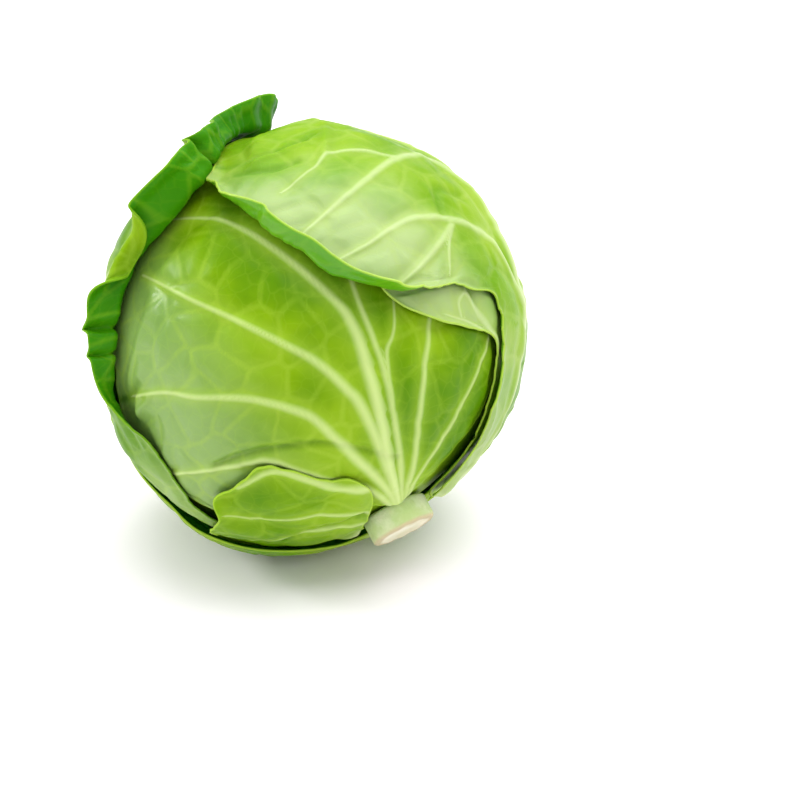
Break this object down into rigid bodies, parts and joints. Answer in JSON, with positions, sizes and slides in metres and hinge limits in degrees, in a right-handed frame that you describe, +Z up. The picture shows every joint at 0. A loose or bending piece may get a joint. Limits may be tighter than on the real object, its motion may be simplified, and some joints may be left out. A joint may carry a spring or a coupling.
{
  "type": "cabbage head",
  "caption": "Round green cabbage head lying on its side, with ribbed wrapper leaves over a packed heart, free leaf edges that curl outward and a short cut stem.",
  "frame": {"origin": "middle of the small flat spot that the head rests on", "axes": "+Z up from the surface; the cut stem points low to the front and right (-Y and +X); the front leaf faces -Y"},
  "size_m": [0.1682, 0.1676, 0.1758],
  "materials": {
    "heart": "fresh pale green packed leaves, satin",
    "stem": "cream cut stem, matt",
    "wrapper_leaf": "mid green waxy leaf with pale ribs, satin",
    "pale_leaf": "light green glossy leaf with pale ribs, satin",
    "dark_leaf": "saturated green leaf, inner face showing, satin"
  },
  "bodies": {
    "root": {"packed_heart": "heart", "cut_stem": "stem", "right_back_leaf": "wrapper_leaf", "front_leaf": "wrapper_leaf", "right_under_leaf": "pale_leaf", "upper_right_leaf": "pale_leaf", "left_back_leaf": "dark_leaf", "lower_front_leaf": "wrapper_leaf", "bottom_leaf": "pale_leaf"}
  },
  "joints": []
}
